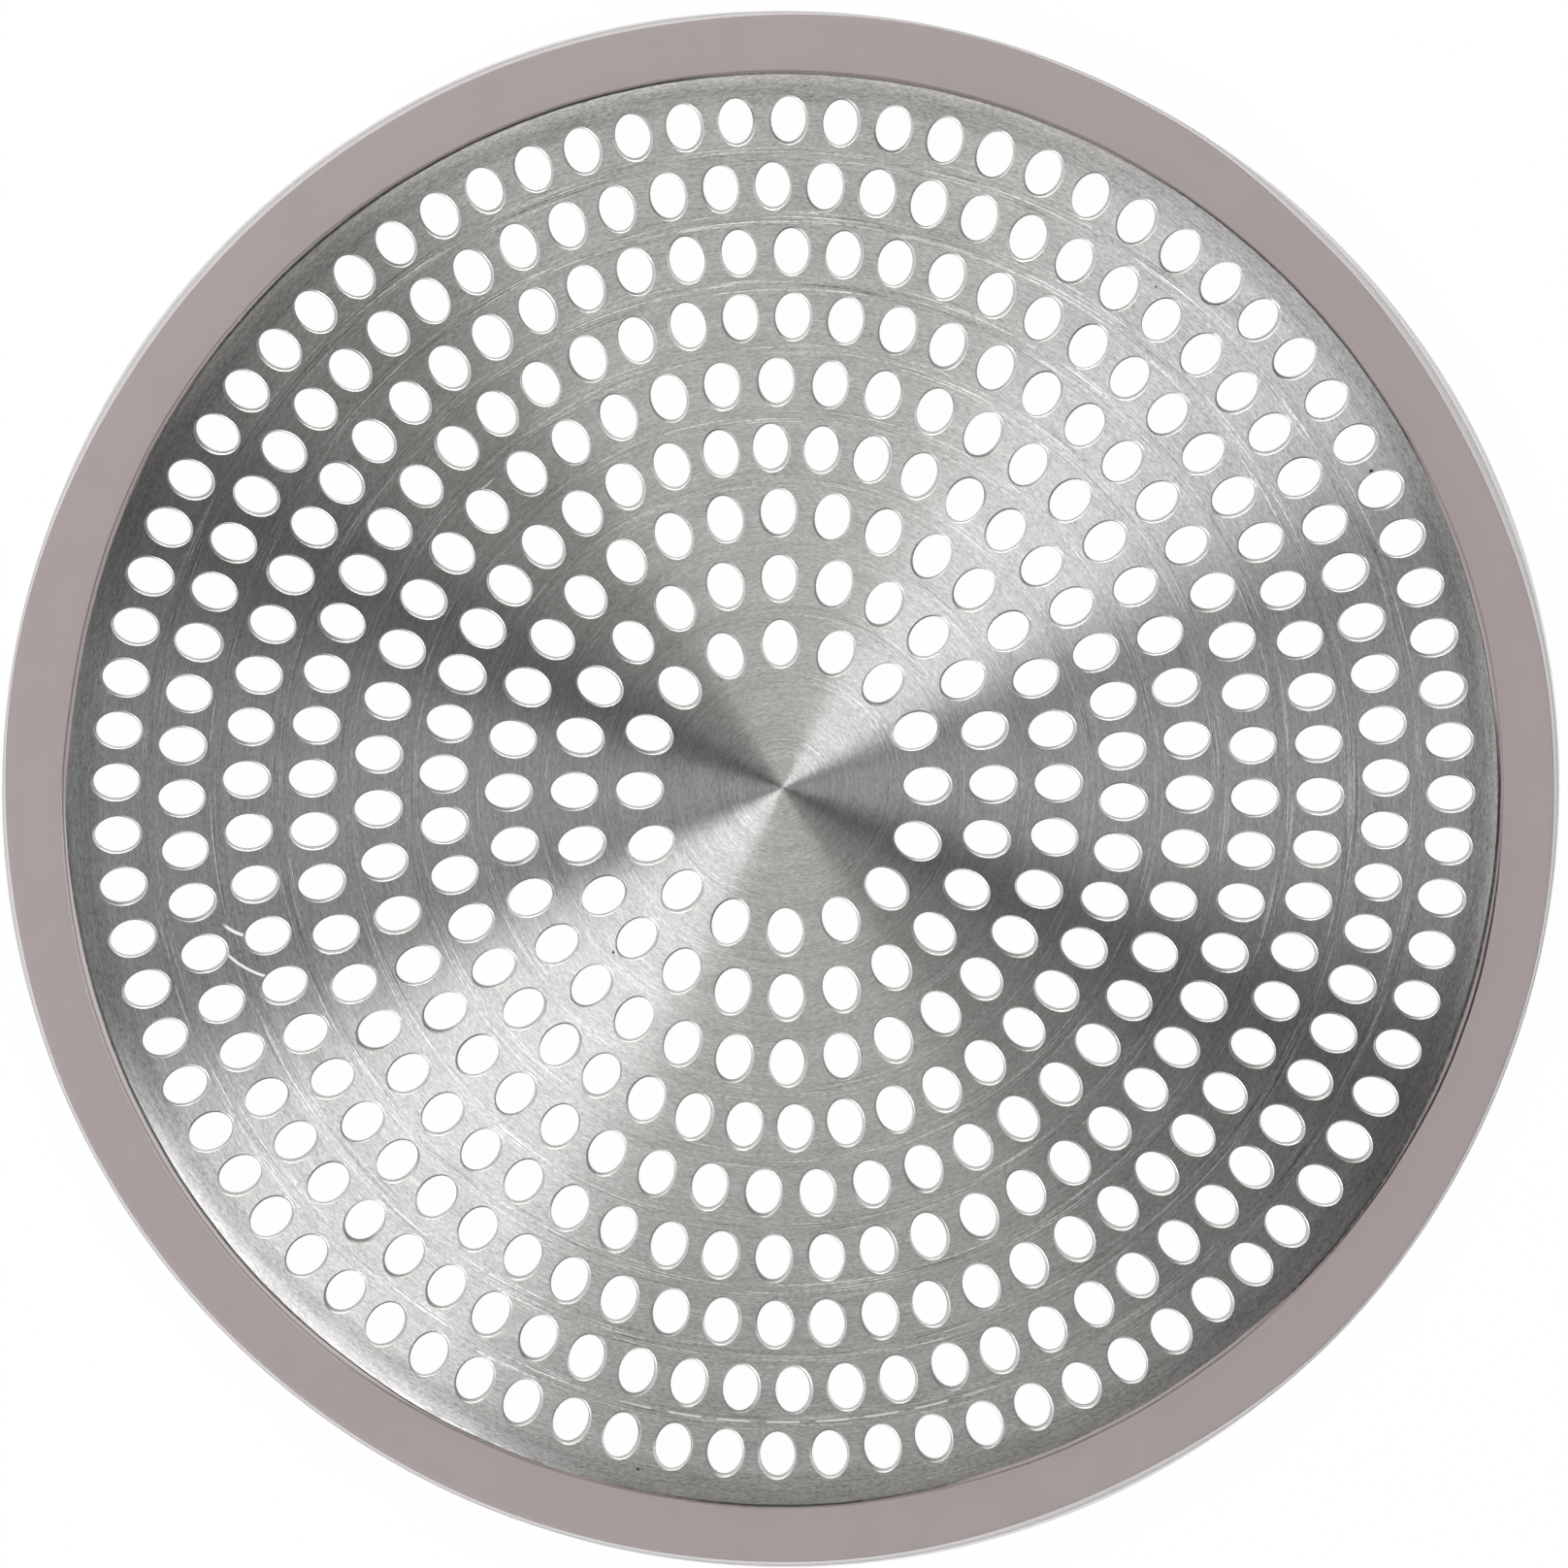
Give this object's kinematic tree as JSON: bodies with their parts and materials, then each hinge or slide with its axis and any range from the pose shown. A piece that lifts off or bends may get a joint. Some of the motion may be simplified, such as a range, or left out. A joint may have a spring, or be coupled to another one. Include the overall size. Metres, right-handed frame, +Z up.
{
  "type": "shower drain strainer",
  "caption": "Flat round drain strainer: a perforated, circularly brushed steel plate held in the groove of a soft silicone rim, laid over a shower drain to catch hair.",
  "frame": {"origin": "middle of the rim's flat underside, on the surface that the strainer lies on", "axes": "+Z up out of the drain, square to the plate; +X to the right and +Y to the top of the picture"},
  "size_m": [0.146, 0.146, 0.006],
  "materials": {
    "steel": "stainless steel brushed in circles round its centre",
    "silicone": "satin grey-mauve silicone"
  },
  "bodies": {
    "root": {"strainer_plate": "steel", "silicone_rim": "silicone"}
  },
  "joints": []
}
